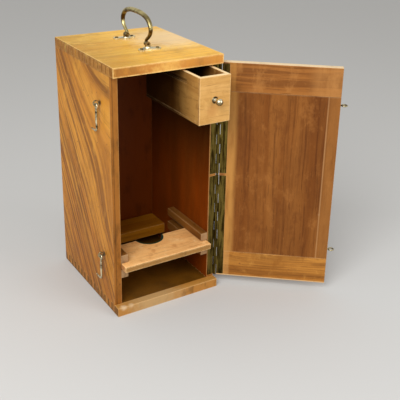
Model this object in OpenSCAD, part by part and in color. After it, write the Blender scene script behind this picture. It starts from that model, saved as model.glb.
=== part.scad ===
/* [Case] */
// Outer width across the two sides
case_w = 150; // [110:1:220]
// Depth of the side boards, front edge to back
side_d = 164; // [150:1:240]
// Overall height of the carcass
case_h = 330; // [300:1:420]
// Thickness of the top and bottom boards
cap_t = 12; // [8:0.5:16]
// Thickness of the two side boards
side_t = 10.5; // [9:0.5:14]
// Thickness of the back board
back_t = 6; // [4:0.5:10]
// Depth of the rebate that holds the back board in each neighbour
back_rebate = 4; // [2:0.5:6]
// Number of finger pairs along each corner joint
finger_pairs = 15; // [8:1:20]
// Wood left over the ends of the side boards' fingers, above and below
finger_lap = 2; // [1:0.5:5]

/* [Door] */
// Thickness of the door
door_t = 10; // [8:0.5:14]
// Gap left all round the closed door
door_gap = 0.8; // [0.4:0.1:1.5]
// Gap between the closed door and the front edges of the sides
door_seat = 0.4; // [0.3:0.1:1]
// Height of the cross-grain clamps at the door's top and bottom
clamp_h = 38; // [20:1:60]
// Depth of the tongue that joins the panel to each clamp
tongue_l = 6; // [3:0.5:10]
// Thickness of that tongue
tongue_t = 3.4; // [2:0.2:5]
// Angle by which the door stands open
door_open = 141; // [0:1:175]

/* [Hinges] */
// Number of knuckles in each of the two lengths of hinge
hinge_knuckles = 11; // [5:2:15]
// Number of screws in each leaf
hinge_screws = 5; // [3:1:7]
// Thickness of a hinge leaf
leaf_t = 1.2; // [0.8:0.1:1.4]
// Radius of the hinge barrel
barrel_r = 2; // [1.6:0.1:2.6]
// Radius of the hinge pin
pin_r = 1; // [0.7:0.1:1.3]
// Running clearance round the pin in the door's knuckles
pin_clear = 0.05; // [0.02:0.01:0.1]
// Gap between one knuckle and the next
knuckle_gap = 0.35; // [0.2:0.05:0.6]
// Distance of the hinge axis outside the right side
axis_out = 2.3; // [2.2:0.1:3.5]
// Distance from the door's end to the nearer end of each hinge
hinge_inset = 2; // [1:0.5:60]
// Gap between the upper and the lower length of hinge
hinge_split = 3.4; // [3:0.2:60]

/* [Drawer] */
// Width of the hanging drawer
drawer_w = 44; // [30:1:60]
// Height of the drawer front
drawer_h = 59; // [35:1:90]
// Length of the drawer
drawer_l = 134; // [100:1:134]
// Thickness of the drawer front
drawer_front_t = 6; // [4:0.5:9]
// Thickness of the drawer sides
drawer_side_t = 5; // [4:0.5:7]
// Thickness of the drawer bottom and back
drawer_thin_t = 3.5; // [2.5:0.5:5]
// Gap between the drawer and what stands beside it
drawer_gap = 0.5; // [0.3:0.1:1]
// Gap between the drawer and the top board
drawer_drop = 3.5; // [1:0.5:8]
// How far the drawer front stands in front of the sides
drawer_out = 44; // [0:1:60]
// Place of the front's face behind the front edges when the drawer is home
drawer_home = 20; // [20:0.5:22]
// Wood of the front left over the ends of the drawer sides
drawer_lap = 2; // [1:0.5:3]
// Thickness of the hanger beside the drawer
hanger_t = 7; // [5:0.5:12]
// Distance from the back board to the runners' ends
rail_back = 18; // [4:1:30]
// Distance from the front's back to the front end of the grooves
groove_front = 24; // [10:1:40]
// Height of the runners that carry the drawer
rail_h = 5; // [3:0.5:8]
// How far each runner reaches into the drawer's groove
rail_bite = 2.2; // [1.5:0.1:3]
// Clearance of a runner in its groove
rail_gap = 0.35; // [0.3:0.05:0.8]
// Distance from the drawer's top edge down to its grooves
groove_drop = 9; // [6:1:20]
// Radius of the brass knob
knob_r = 4.6; // [3:0.2:7]
// Reach of the knob in front of the drawer
knob_l = 14; // [8:0.5:16]

/* [Cradle board] */
// Height of the board's top face above the base
cradle_z = 70; // [50:1:110]
// Thickness of the board
cradle_t = 8.5; // [5:0.5:12]
// Depth of the board, front to back
cradle_d = 57.5; // [40:1:90]
// Gap at each end and above and below the board
cradle_gap = 0.5; // [0.3:0.1:1]
// How far the board stands in front of the sides
cradle_out = 11.2; // [0:0.2:14]
// Radius of the notch in the back edge
notch_r = 20; // [12:1:30]
// How far the notch's centre lies behind the back edge
notch_set = 1.5; // [0:0.5:6]
// Thickness of the cloth that lines the notch
baize_t = 1.2; // [0.8:0.1:2]
// Width of the four runners on the sides
runner_w = 10; // [6:0.5:16]
// Height of the upper runners
runner_h = 11; // [6:0.5:16]
// Height of the lower runners
lower_runner_h = 12; // [6:0.5:18]
// Length of the four runners
runner_l = 92; // [70:1:130]

/* [Rear block] */
// Height of the rear block's top face above the base
block_z = 42.5; // [30:0.5:50]
// Thickness of the rear block
block_t = 15; // [8:0.5:20]
// Depth of the rear block, front to back
block_d = 39.5; // [20:0.5:60]

/* [Handle] */
// Distance between the two pivots of the carrying handle
bail_span = 53; // [40:1:80]
// Greatest width of the handle
bail_w = 76.5; // [60:0.5:110]
// Height of the handle's crown above its pivots
bail_h = 35.8; // [30:0.2:55]
// Distance of the handle to the right of the middle of the top
handle_right = 2.8; // [-10:0.2:10]
// Distance of the handle behind the middle of the top
handle_back = 5.7; // [-10:0.1:10]
// Radius of the handle's rod at its ends
bail_end_r = 1.9; // [1.4:0.1:2.4]
// Radius of the handle's rod at its crown
bail_mid_r = 3.2; // [2.2:0.1:4]
// Height of the handle's pivots above the top board
bail_pivot_z = 6.5; // [5:0.5:9]
// Radius of the handle's pivot pins
bail_pin_r = 1.5; // [1:0.1:2]
// Running clearance round those pins
bail_pin_clear = 0.06; // [0.02:0.01:0.1]
// Length of each handle plate
plate_l = 31; // [22:1:44]
// Thickness of each handle plate
plate_t = 2; // [1:0.1:2.5]
// Distance by which a plate's two arms lie outside its post
plate_set = 5; // [0:0.5:7]

/* [Hooks] */
// Distance of the hooks' eyes behind the front edges of the sides
hook_y = 27; // [20:0.5:34]
// Distance of the upper hook's eye below the top
hook_drop = 54; // [40:1:80]
// Height of the lower hook's eye
hook_lo = 71.5; // [50:1:100]
// Radius of the hook's wire at the bend
hook_r = 1.25; // [0.9:0.05:1.5]
// Width of the hook's stouter shank
shank_w = 3; // [2.6:0.1:3.6]
// Drop from the shank's line to the tip's end
hook_tip = 15; // [11:0.5:18]
// Radius of the bend in the hook
hook_bend = 4.5; // [3.5:0.1:6]
// Radius of the screw eyes, to the middle of the wire
eye_r = 3.3; // [3:0.1:4.5]
// Radius of the screw eyes' wire
eye_wire = 0.9; // [0.7:0.05:1.1]
// Distance of each eye's middle from the wood
eye_out = 5; // [4.6:0.1:7]
// Drop of the door's eyes below the hook's line when it is shut
eye_drop = 8; // [6.6:0.2:10]
// Radius of the screw heads
screw_r = 1.9; // [1.2:0.1:2.2]

/* [Hidden] */
$fn = 48;
overhang = door_t + door_seat;
inner_l = side_t;
inner_r = case_w - side_t;
floor_z = cap_t;
roof_z = case_h - cap_t;
back_y = side_d - back_t;
pitch = side_d / finger_pairs;
door_z0 = floor_z + door_gap;
door_z1 = roof_z - door_gap;
door_x0 = 0;
door_x1 = case_w - 0.2;
axis_x = case_w + axis_out;
axis_y = -door_seat / 2;
hinge_h = (door_z1 - door_z0 - hinge_split) / 2 - hinge_inset;
hinge_up_z = door_z1 - hinge_inset - hinge_h;
hinge_lo_z = door_z0 + hinge_inset;
leaf_edge = 0.3;
leaf_w = side_t - leaf_edge - 1;
knuckle = hinge_h / hinge_knuckles;
leaf_screws = [for (i = [0 : hinge_screws - 1])
    knuckle / 2 + i * (hinge_h - knuckle) / (hinge_screws - 1)];
leaf_screw_x = case_w - leaf_edge - leaf_w * 0.62;
drawer_x1 = inner_r - drawer_gap;
drawer_x0 = drawer_x1 - drawer_w;
drawer_z1 = roof_z - drawer_drop;
drawer_z0 = drawer_z1 - drawer_h;
groove_z = drawer_z1 - groove_drop - rail_h;
rail_y0 = drawer_home + drawer_front_t + groove_front + 1;
rail_y1 = back_y - rail_back;
cradle_x0 = inner_l + cradle_gap;
cradle_x1 = inner_r - cradle_gap;
cradle_back = cradle_d - cradle_out;
notch_x = case_w / 2;
upper_runner_z = cradle_z + cradle_gap;
lower_runner_z = cradle_z - cradle_t - cradle_gap - lower_runner_h;
mid_y = (side_d - overhang) / 2;
bail_x = case_w / 2 + handle_right;
bail_y = mid_y + handle_back;
bail_z = case_h + bail_pivot_z;
boss_r = 3.1;
bail_foot_z = 2.2;
lobe_r = 4.5;
arm_x = plate_l / 2 - lobe_r;
ear_t = 3.2;
ear_gap = 0.35;
knob_x = (drawer_x0 + drawer_x1) / 2;
knob_z = (drawer_z0 + drawer_z1) / 2;
hook_l = hook_y + door_seat + door_t / 2;
hook_hi = case_h - hook_drop;
loop_r = 2.7;
loop_wire = 1;
stud_x = 6;
stud_drop = 22;

// Puts the case's own corner frame in the part's frame, centred on the base
module place() {
    translate([-case_w / 2, -mid_y, 0]) children();
}

// Turns what belongs to the door from shut to open about the hinge axis
module swing() {
    translate([axis_x, axis_y, 0]) rotate([0, 0, door_open]) translate([-axis_x, -axis_y, 0])
        children();
}

module block(a, b) {
    translate(a) cube(b - a);
}

// Slots for the fingers of one corner joint; shift is 0 or 1
module fingers(x0, x1, z0, z1, shift) {
    for (i = [0 : finger_pairs - 1])
        block([x0, (i + shift / 2) * pitch, z0], [x1, (i + shift / 2 + 0.5) * pitch, z1]);
}

module side_board(x0, x1) {
    difference() {
        block([x0, 0, finger_lap], [x1, side_d, case_h - finger_lap]);
        fingers(x0 - 1, x1 + 1, 0, cap_t, 1);
        fingers(x0 - 1, x1 + 1, roof_z, case_h, 1);
        block([x0 < case_w / 2 ? x1 - back_rebate : x0 - 1, back_y, floor_z - back_rebate],
            [x0 < case_w / 2 ? x1 + 1 : x0 + back_rebate, side_d + 1, roof_z + back_rebate]);
    }
}

module left_side() {
    color("#b87a3e") place() difference() {
        side_board(0, side_t);
        for (z = [hook_hi, hook_lo])
            translate([-1, hook_y, z + eye_r]) rotate([0, 90, 0]) cylinder(r = 1, h = 9);
    }
}

module right_side() {
    color("#b07238") place() difference() {
        side_board(inner_r, case_w);
        for (z = [hinge_up_z, hinge_lo_z])
            block([case_w - leaf_edge - leaf_w, -1, z], [case_w + 1, leaf_t, z + hinge_h]);
    }
}

// A top or bottom board with the blind slots of both corner joints
module cap_board(z0) {
    z1 = z0 + cap_t;
    a = z0 > 0 ? z0 - 1 : finger_lap;
    b = z0 > 0 ? z1 - finger_lap : z1 + 1;
    difference() {
        block([0, -overhang, z0], [case_w, side_d, z1]);
        fingers(-1, side_t, a, b, 0);
        fingers(inner_r, case_w + 1, a, b, 0);
        block([side_t - back_rebate, back_y, z0 > 0 ? z0 - 1 : z1 - back_rebate],
            [inner_r + back_rebate, side_d + 1, z0 > 0 ? z0 + back_rebate : z1 + 1]);
    }
}

module top_board() {
    color("#d8a552") place() difference() {
        cap_board(roof_z);
        for (s = [-1, 1])
            for (e = [-1, 1])
                translate([bail_x + e * arm_x, arm_y(s), case_h - 7])
                    cylinder(r = 1, h = 8);
    }
}

module bottom_board() {
    color("#a86f38") place() cap_board(0);
}

module back_board() {
    color("#6e4322") place()
        block([side_t - back_rebate, back_y, floor_z - back_rebate],
            [inner_r + back_rebate, side_d, roof_z + back_rebate]);
}

module rear_block() {
    color("#7d5028") place()
        block([inner_l, back_y - block_d, block_z - block_t], [inner_r, back_y, block_z]);
}

module runner(x0, z0, h) {
    block([x0, 0, z0], [x0 + runner_w, runner_l, z0 + h]);
}

module upper_runner_left() {
    color("#6a4022") place() runner(inner_l, upper_runner_z, runner_h);
}

module upper_runner_right() {
    color("#6a4022") place() runner(inner_r - runner_w, upper_runner_z, runner_h);
}

module lower_runner_left() {
    color("#6a4022") place() runner(inner_l, lower_runner_z, lower_runner_h);
}

module lower_runner_right() {
    color("#6a4022") place() runner(inner_r - runner_w, lower_runner_z, lower_runner_h);
}

// The hanger stands under the top; its lip reaches into the drawer's left groove
module drawer_hanger() {
    x1 = drawer_x0 - drawer_gap;
    color("#6a4022") place() {
        block([x1 - hanger_t, rail_y0, groove_z + rail_gap], [x1, rail_y1, roof_z]);
        block([x1 - 1, rail_y0, groove_z + rail_gap],
            [x1 + drawer_gap + rail_bite, rail_y1, groove_z + rail_h - rail_gap]);
    }
}

module drawer_rail() {
    color("#6a4022") place()
        block([drawer_x1 - rail_bite, rail_y0, groove_z + rail_gap],
            [inner_r, rail_y1, groove_z + rail_h - rail_gap]);
}

function plate_y(s) = bail_y + s * (bail_span / 2 + bail_end_r + ear_gap + ear_t / 2);

function arm_y(s) = plate_y(s) + s * plate_set;

// Outline of a handle plate: two arms with round ends, and a lobe behind them for the post
module plate_outline() {
    difference() {
        union() {
            translate([0, -plate_set]) square([2 * arm_x, lobe_r * 1.3], center = true);
            polygon([[-arm_x, -plate_set], [-lobe_r, lobe_r * 0.8],
                [lobe_r, lobe_r * 0.8], [arm_x, -plate_set]]);
            circle(r = lobe_r * 1.2);
            for (e = [-1, 1]) translate([e * arm_x, -plate_set]) circle(r = lobe_r);
        }
        for (e = [-1, 1]) translate([e * arm_x, -plate_set]) circle(r = 1);
    }
}

// Plate, turned post and ear of one end of the handle; s is -1 in front and 1 behind
module handle_plate(s) {
    translate([bail_x, plate_y(s), case_h]) difference() {
        union() {
            linear_extrude(plate_t) mirror([0, s > 0 ? 1 : 0]) plate_outline();
            cylinder(r1 = 4.2, r2 = 3, h = plate_t + 1.4);
            translate([-boss_r, -ear_t / 2, 0]) cube([2 * boss_r, ear_t, bail_pivot_z]);
            translate([0, ear_t / 2, bail_pivot_z]) rotate([90, 0, 0])
                cylinder(r = boss_r, h = ear_t);
        }
        translate([0, ear_t, bail_pivot_z]) rotate([90, 0, 0])
            cylinder(r = bail_pin_r + bail_pin_clear, h = 2 * ear_t);
    }
}

module handle_plate_front() {
    color("#b9a76a") place() handle_plate(-1);
}

module handle_plate_rear() {
    color("#b9a76a") place() handle_plate(1);
}

// A screw eye on the left of the wood: ring of wire on a threaded stem along X
module screw_eye(flat) {
    translate([-eye_out, 0, 0]) rotate([flat ? 0 : 90, 0, 0])
        rotate_extrude() translate([eye_r, 0]) circle(r = eye_wire);
    translate([-eye_out + eye_r + eye_wire * 0.6, 0, 0]) rotate([0, 90, 0])
        cylinder(r = 1, h = eye_out - eye_r - eye_wire * 0.6 + 7);
}

module hook_eye(z) {
    translate([0, hook_y, z + eye_r]) screw_eye(false);
}

module hook_eye_upper() {
    color("#b7a97c") place() hook_eye(hook_hi);
}

module hook_eye_lower() {
    color("#b7a97c") place() hook_eye(hook_lo);
}

// Every second knuckle of a length of hinge, with the tabs that join it to its leaf
module knuckles(z, from, y0, bore) {
    last = hinge_knuckles - 1;
    for (i = [from : 2 : last]) {
        a = z + i * knuckle + (i > 0 ? knuckle_gap / 2 : 0);
        b = z + (i + 1) * knuckle - (i < last ? knuckle_gap / 2 : 0);
        difference() {
            union() {
                translate([axis_x, axis_y, a]) cylinder(r = barrel_r, h = b - a);
                block([case_w - 2 * leaf_edge, y0, a], [axis_x, y0 + leaf_t, b]);
            }
            translate([axis_x, axis_y, a - 1]) cylinder(r = bore, h = b - a + 2);
        }
    }
}

module leaf(z, y0) {
    difference() {
        block([case_w - leaf_edge - leaf_w, y0, z],
            [case_w - leaf_edge, y0 + leaf_t, z + hinge_h]);
        for (h = leaf_screws)
            translate([leaf_screw_x, y0 + 2 * leaf_t, z + h])
                rotate([90, 0, 0]) cylinder(r = screw_r, h = 3 * leaf_t);
    }
}

module case_leaf(z) {
    leaf(z, 0);
    knuckles(z, 0, 0, pin_r);
}

module case_leaf_upper() {
    color("#a8925a") place() case_leaf(hinge_up_z);
}

module case_leaf_lower() {
    color("#a8925a") place() case_leaf(hinge_lo_z);
}

module hinge_pin(z) {
    translate([axis_x, axis_y, z - 0.6]) cylinder(r = pin_r, h = hinge_h + 1.2);
    for (e = [z - 1.2, z + hinge_h]) translate([axis_x, axis_y, e])
        cylinder(r = pin_r + 0.6, h = 1.2);
}

module hinge_pin_upper() {
    color("#c9b678") place() hinge_pin(hinge_up_z);
}

module hinge_pin_lower() {
    color("#c9b678") place() hinge_pin(hinge_lo_z);
}

// A slotted countersunk head with its face at z = 0
module screw_head(r, depth) {
    difference() {
        translate([0, 0, -depth]) cylinder(r = r, h = depth);
        translate([-r, -0.3, -0.5]) cube([2 * r, 0.6, 1]);
    }
}

module case_screws() {
    color("#c9b678") place() {
        for (s = [-1, 1])
            for (e = [-1, 1])
                translate([bail_x + e * arm_x, arm_y(s), case_h]) {
                    translate([0, 0, plate_t + 0.9]) screw_head(2.1, 0.9);
                    translate([0, 0, -7]) cylinder(r = 1, h = plate_t + 7);
                }
        for (z = [hinge_up_z, hinge_lo_z])
            for (h = leaf_screws)
                translate([leaf_screw_x, 0, z + h])
                    rotate([90, 0, 0]) screw_head(screw_r, leaf_t);
    }
}

// Domed stud on the back near the upper left corner
module back_stud() {
    color("#d8c37e") place()
        translate([stud_x, side_d, case_h - stud_drop]) rotate([-90, 0, 0]) intersection() {
            translate([0, 0, -3.2]) sphere(r = 6);
            cylinder(r = 7, h = 4);
        }
}

module door_panel() {
    y0 = -overhang;
    z0 = door_z0 + clamp_h;
    z1 = door_z1 - clamp_h;
    color("#96602f") place() swing() difference() {
        union() {
            block([door_x0, y0, z0], [door_x1, y0 + door_t, z1]);
            block([door_x0, y0 + (door_t - tongue_t) / 2, z0 - tongue_l],
                [door_x1, y0 + (door_t + tongue_t) / 2, z1 + tongue_l]);
        }
        leaf_recess();
        eye_holes();
    }
}

module leaf_recess() {
    for (z = [hinge_up_z, hinge_lo_z])
        block([case_w - leaf_edge - leaf_w, -door_seat - leaf_t, z],
            [case_w + 1, 1, z + hinge_h]);
}

module eye_holes() {
    for (z = [hook_hi, hook_lo])
        translate([-1, -door_seat - door_t / 2, z - eye_drop]) rotate([0, 90, 0])
            cylinder(r = 1, h = 8);
}

module door_clamp(z0, groove_z) {
    y0 = -overhang;
    difference() {
        block([door_x0, y0, z0], [door_x1, y0 + door_t, z0 + clamp_h]);
        block([door_x0 - 1, y0 + (door_t - tongue_t) / 2, groove_z],
            [door_x1 + 1, y0 + (door_t + tongue_t) / 2, groove_z + tongue_l]);
        leaf_recess();
        eye_holes();
    }
}

module door_clamp_top() {
    color("#b5733c") place() swing() door_clamp(door_z1 - clamp_h, door_z1 - clamp_h);
}

module door_clamp_bottom() {
    color("#c68a4b") place() swing() door_clamp(door_z0, door_z0 + clamp_h - tongue_l);
}

module door_leaf(z) {
    leaf(z, -door_seat - leaf_t);
    knuckles(z, 1, -door_seat - leaf_t, pin_r + pin_clear);
}

module door_leaf_upper() {
    color("#b09a60") place() swing() door_leaf(hinge_up_z);
}

module door_leaf_lower() {
    color("#b09a60") place() swing() door_leaf(hinge_lo_z);
}

module door_screws() {
    color("#c9b678") place() swing()
        for (z = [hinge_up_z, hinge_lo_z])
            for (h = leaf_screws)
                translate([leaf_screw_x, -door_seat, z + h])
                    rotate([-90, 0, 0]) screw_head(screw_r, leaf_t);
}

module door_eye(z) {
    translate([0, -door_seat - door_t / 2, z - eye_drop]) screw_eye(true);
}

module door_eye_upper() {
    color("#b7a97c") place() swing() door_eye(hook_hi);
}

module door_eye_lower() {
    color("#b7a97c") place() swing() door_eye(hook_lo);
}

// The front is rebated at each end, so that it laps the ends of the sides
module drawer_front() {
    color("#e1b070") place() difference() {
        block([drawer_x0, -drawer_out, drawer_z0],
            [drawer_x1, -drawer_out + drawer_front_t, drawer_z1]);
        for (x = [drawer_x0 - 1, drawer_x1 - drawer_side_t])
            block([x, -drawer_out + drawer_lap, drawer_z0 - 1],
                [x + drawer_side_t + 1, -drawer_out + drawer_front_t + 1, drawer_z1 + 1]);
    }
}

module drawer_side(x0, groove_x) {
    y0 = -drawer_out + drawer_front_t;
    difference() {
        block([x0, -drawer_out + drawer_lap, drawer_z0],
            [x0 + drawer_side_t, drawer_l - drawer_out, drawer_z1]);
        block([x0 - 1, y0, drawer_z0 - 1],
            [x0 + drawer_side_t + 1, drawer_l, drawer_z0 + drawer_thin_t]);
        block([groove_x, y0 + groove_front, groove_z],
            [groove_x + rail_bite + rail_gap + 1, drawer_l - drawer_out + 1, groove_z + rail_h]);
    }
}

module drawer_side_left() {
    color("#c98f50") place() drawer_side(drawer_x0, drawer_x0 - 1);
}

module drawer_side_right() {
    color("#c98f50") place()
        drawer_side(drawer_x1 - drawer_side_t, drawer_x1 - rail_bite - rail_gap);
}

module drawer_back() {
    color("#c08648") place()
        block([drawer_x0 + drawer_side_t, drawer_l - drawer_out - drawer_thin_t,
            drawer_z0 + drawer_thin_t],
            [drawer_x1 - drawer_side_t, drawer_l - drawer_out, drawer_z1 - 4]);
}

module drawer_bottom() {
    color("#c08648") place()
        block([drawer_x0, -drawer_out + drawer_front_t, drawer_z0],
            [drawer_x1, drawer_l - drawer_out, drawer_z0 + drawer_thin_t]);
}

// Ball knob on a short neck, turned about Y
module drawer_knob() {
    color("#cdbb7c") place() translate([knob_x, -drawer_out - 1.2, knob_z]) rotate([90, 0, 0]) {
        cylinder(r1 = 3, r2 = 1.7, h = 2.4);
        cylinder(r = 1.7, h = knob_l - knob_r - 1.2);
        translate([0, 0, knob_l - knob_r - 1.2]) sphere(r = knob_r);
    }
}

module knob_rose() {
    color("#b9a76a") place() translate([knob_x, -drawer_out, knob_z]) rotate([90, 0, 0])
        cylinder(r1 = 4.4, r2 = 3.6, h = 1.2);
}

module notch(r) {
    translate([notch_x, cradle_back + notch_set, cradle_z - cradle_t - 1])
        cylinder(r = r, h = cradle_t + 2, $fn = 96);
}

module cradle_board() {
    color("#dca765") place() difference() {
        block([cradle_x0, -cradle_out, cradle_z - cradle_t], [cradle_x1, cradle_back, cradle_z]);
        notch(notch_r);
    }
}

// Cloth strip round the wall of the notch
module cradle_baize() {
    color("#23402f") place() difference() {
        intersection() {
            translate([notch_x, cradle_back + notch_set, cradle_z - cradle_t])
                cylinder(r = notch_r, h = cradle_t, $fn = 96);
            block([0, 0, 0], [case_w, cradle_back, case_h]);
        }
        notch(notch_r - baize_t);
    }
}

// Half of the handle's centre line in (across, up), crown to foot
bail_half = [[0, bail_h], [0.2 * bail_w, 0.98 * bail_h], [0.38 * bail_w, 0.88 * bail_h],
    [0.47 * bail_w, 0.71 * bail_h], [0.5 * bail_w, 0.55 * bail_h],
    [0.485 * bail_w, 0.39 * bail_h], [0.44 * bail_w, 0.27 * bail_h],
    [bail_span / 2 + 2.6, 0.17 * bail_h], [bail_span / 2, 0.11 * bail_h],
    [bail_span / 2, bail_foot_z]];
bail_last = len(bail_half) - 1;
bail_turn = concat([for (i = [bail_last : -1 : 1]) [-bail_half[i][0], bail_half[i][1]]], bail_half);

function spline(p, i, t) =
    let (n = len(p) - 1)
    let (a = p[max(i - 1, 0)])
    let (b = p[i])
    let (c = p[min(i + 1, n)])
    let (d = p[min(i + 2, n)])
    0.5 * ((2 * b) + (c - a) * t + (2 * a - 5 * b + 4 * c - d) * t * t
        + (3 * b - a - 3 * c + d) * t * t * t);

bail_steps = 3;
bail_path = [for (i = [0 : len(bail_turn) - 2]) for (k = [0 : bail_steps - 1])
    spline(bail_turn, i, k / bail_steps), bail_turn[len(bail_turn) - 1]];
bail_sides = 14;

function bail_radius(k) =
    let (u = k / (len(bail_path) - 1))
    bail_end_r + (bail_mid_r - bail_end_r) * pow(sin(180 * u), 1.7);

function bail_ring(k) =
    let (n = len(bail_path) - 1)
    let (a = bail_path[max(k - 1, 0)])
    let (b = bail_path[min(k + 1, n)])
    let (d = k == 0 ? [0, 1] : k == n ? [0, -1] : (b - a) / norm(b - a))
    let (r = bail_radius(k))
    [for (j = [0 : bail_sides - 1])
        let (c = r * cos(360 * j / bail_sides))
        let (s = r * sin(360 * j / bail_sides))
        [s, bail_path[k][0] - d[1] * c, bail_path[k][1] + d[0] * c]];

// Swept rod of the handle, thick at the crown and slim at its feet
module handle_bail() {
    n = len(bail_path);
    m = bail_sides;
    pts = [for (k = [0 : n - 1]) for (p = bail_ring(k)) p];
    walls = [for (k = [0 : n - 2]) for (j = [0 : m - 1])
        let (q = (j + 1) % m)
        for (f = [[k * m + j, k * m + q, (k + 1) * m + q], [k * m + j, (k + 1) * m + q,
            (k + 1) * m + j]]) f];
    ends = concat([for (j = [1 : m - 2]) [0, j + 1, j]],
        [for (j = [1 : m - 2]) [(n - 1) * m, (n - 1) * m + j, (n - 1) * m + j + 1]]);
    color("#b7a66c") place() translate([bail_x, bail_y, bail_z])
        polyhedron(points = pts, faces = concat(walls, ends));
}

// Eye end and pin of one foot of the handle
module handle_foot(s) {
    translate([bail_x, bail_y + s * bail_span / 2, bail_z]) {
        intersection() {
            translate([0, bail_end_r, 0]) rotate([90, 0, 0]) cylinder(r = 2.9, h = 2 * bail_end_r);
            translate([-5, -5, -5]) cube([10, 10, 5 + bail_foot_z]);
        }
        rotate([s > 0 ? -90 : 90, 0, 0])
            cylinder(r = bail_pin_r, h = bail_end_r + ear_gap + ear_t + 0.5);
    }
}

module handle_foot_front() {
    color("#b7a66c") place() handle_foot(-1);
}

module handle_foot_rear() {
    color("#b7a66c") place() handle_foot(1);
}

// A hook hanging down from its loop, with the tip turned to the back
module hook(z) {
    translate([-eye_out, hook_y, z]) {
        rotate([0, 90, 0]) rotate_extrude() translate([loop_r, 0]) circle(r = loop_wire);
        translate([0, 0, -8]) cylinder(r = hook_r, h = 8 - loop_r);
        translate([0, 0, -(hook_l - 11)]) cylinder(r = shank_w / 2, h = hook_l - 17, $fn = 32);
        translate([0, 0, -(hook_l - hook_bend)]) cylinder(r = hook_r, h = 11 - hook_bend);
        translate([0, hook_bend, -(hook_l - hook_bend)]) rotate([0, 90, 0]) rotate([0, 0, -90])
            rotate_extrude(angle = 90) translate([hook_bend, 0]) circle(r = hook_r);
        translate([0, hook_bend, -hook_l]) rotate([-90, 0, 0])
            cylinder(r1 = hook_r, r2 = 0.8, h = hook_tip - hook_bend);
    }
}

module hook_upper() {
    color("#c2b182") place() hook(hook_hi);
}

module hook_lower() {
    color("#c2b182") place() hook(hook_lo);
}

left_side();
right_side();
top_board();
bottom_board();
back_board();
rear_block();
upper_runner_left();
upper_runner_right();
lower_runner_left();
lower_runner_right();
drawer_hanger();
drawer_rail();
handle_plate_front();
handle_plate_rear();
hook_eye_upper();
hook_eye_lower();
case_leaf_upper();
case_leaf_lower();
hinge_pin_upper();
hinge_pin_lower();
case_screws();
back_stud();
door_panel();
door_clamp_top();
door_clamp_bottom();
door_leaf_upper();
door_leaf_lower();
door_screws();
door_eye_upper();
door_eye_lower();
drawer_front();
drawer_side_left();
drawer_side_right();
drawer_back();
drawer_bottom();
drawer_knob();
knob_rose();
cradle_board();
cradle_baize();
handle_bail();
handle_foot_front();
handle_foot_rear();
hook_upper();
hook_lower();
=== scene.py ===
# %% [markdown]
# A small upright instrument case in mahogany, with brass fittings. The measured model comes in
# first as a fixed frame. Every finish and added piece below is laid over it in metres and in its
# own place, so nothing has to be fitted or scaled afterwards.

import math

import bmesh
import bpy
from mathutils import Matrix, Vector


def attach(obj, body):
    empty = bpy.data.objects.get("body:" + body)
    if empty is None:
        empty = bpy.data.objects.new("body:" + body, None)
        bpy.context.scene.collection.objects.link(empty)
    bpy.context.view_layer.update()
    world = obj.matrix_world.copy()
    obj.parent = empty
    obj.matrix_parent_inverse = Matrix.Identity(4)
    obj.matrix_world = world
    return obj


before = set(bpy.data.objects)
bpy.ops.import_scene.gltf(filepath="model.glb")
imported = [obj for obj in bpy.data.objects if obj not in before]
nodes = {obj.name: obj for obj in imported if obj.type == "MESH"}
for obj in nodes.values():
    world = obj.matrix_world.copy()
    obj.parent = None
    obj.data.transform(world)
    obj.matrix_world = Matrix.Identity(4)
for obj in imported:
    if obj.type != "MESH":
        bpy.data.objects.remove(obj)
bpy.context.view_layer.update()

# %% [markdown]
# The camera stands to the left of the door side and a little above the top board. Its place and
# lens come from matching the corners of the carcass, the open door and the drawer. It is set by
# its three axes, because a level turn, a dip and a roll are easy to read and to correct.

# %% Camera
CAMERA_PLACE = (-0.42148, -0.82893, 0.55540)
CAMERA_TURN = (33.067, 21.565, 1.594)  # degrees: to the right of +Y, below the horizon, roll
LENS_MM = 67.0
SENSOR_MM = 36.0
FRAME_SHIFT = (-0.03, -0.125)
NEAR_CLIP = 0.05


def make_camera():
    turn, dip, roll = [math.radians(a) for a in CAMERA_TURN]
    ahead = Vector((math.sin(turn) * math.cos(dip), math.cos(turn) * math.cos(dip), -math.sin(dip)))
    right = Vector((math.cos(turn), -math.sin(turn), 0.0))
    above = right.cross(ahead)
    side = right * math.cos(roll) + above * math.sin(roll)
    over = -right * math.sin(roll) + above * math.cos(roll)
    data = bpy.data.cameras.new("camera")
    data.lens = LENS_MM
    data.sensor_width = SENSOR_MM
    data.shift_x, data.shift_y = FRAME_SHIFT
    data.clip_start = NEAR_CLIP
    camera = bpy.data.objects.new("camera", data)
    axes = Matrix((side, over, -ahead)).transposed().to_4x4()
    camera.matrix_world = Matrix.Translation(CAMERA_PLACE) @ axes
    bpy.context.collection.objects.link(camera)
    bpy.context.scene.camera = camera
    print("camera at", tuple(camera.location))


make_camera()

# %% [markdown]
# The case stands on a plain pale floor, under a broad soft lamp on the left, a weaker one on the
# right and an even pale sky. Lamps as wide as these give soft shadows. They are kept low, so that
# nothing pale clips to white and the colours show about as they are set.

# %% Floor, lamps and sky
FLOOR_TONE = (0.58, 0.58, 0.57, 1)
FLOOR_HALF_SIDE = 4.0
LAMP_SIDE = 0.9
LAMPS_AIM = (0, 0, 0.15)
SKY_TONE = (1.0, 0.98, 0.95, 1)


def start(name):
    """A new finish, its node tree and its main shader."""
    mat = bpy.data.materials.new(name)
    mat.use_nodes = True
    return mat, mat.node_tree, mat.node_tree.nodes["Principled BSDF"]


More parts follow.
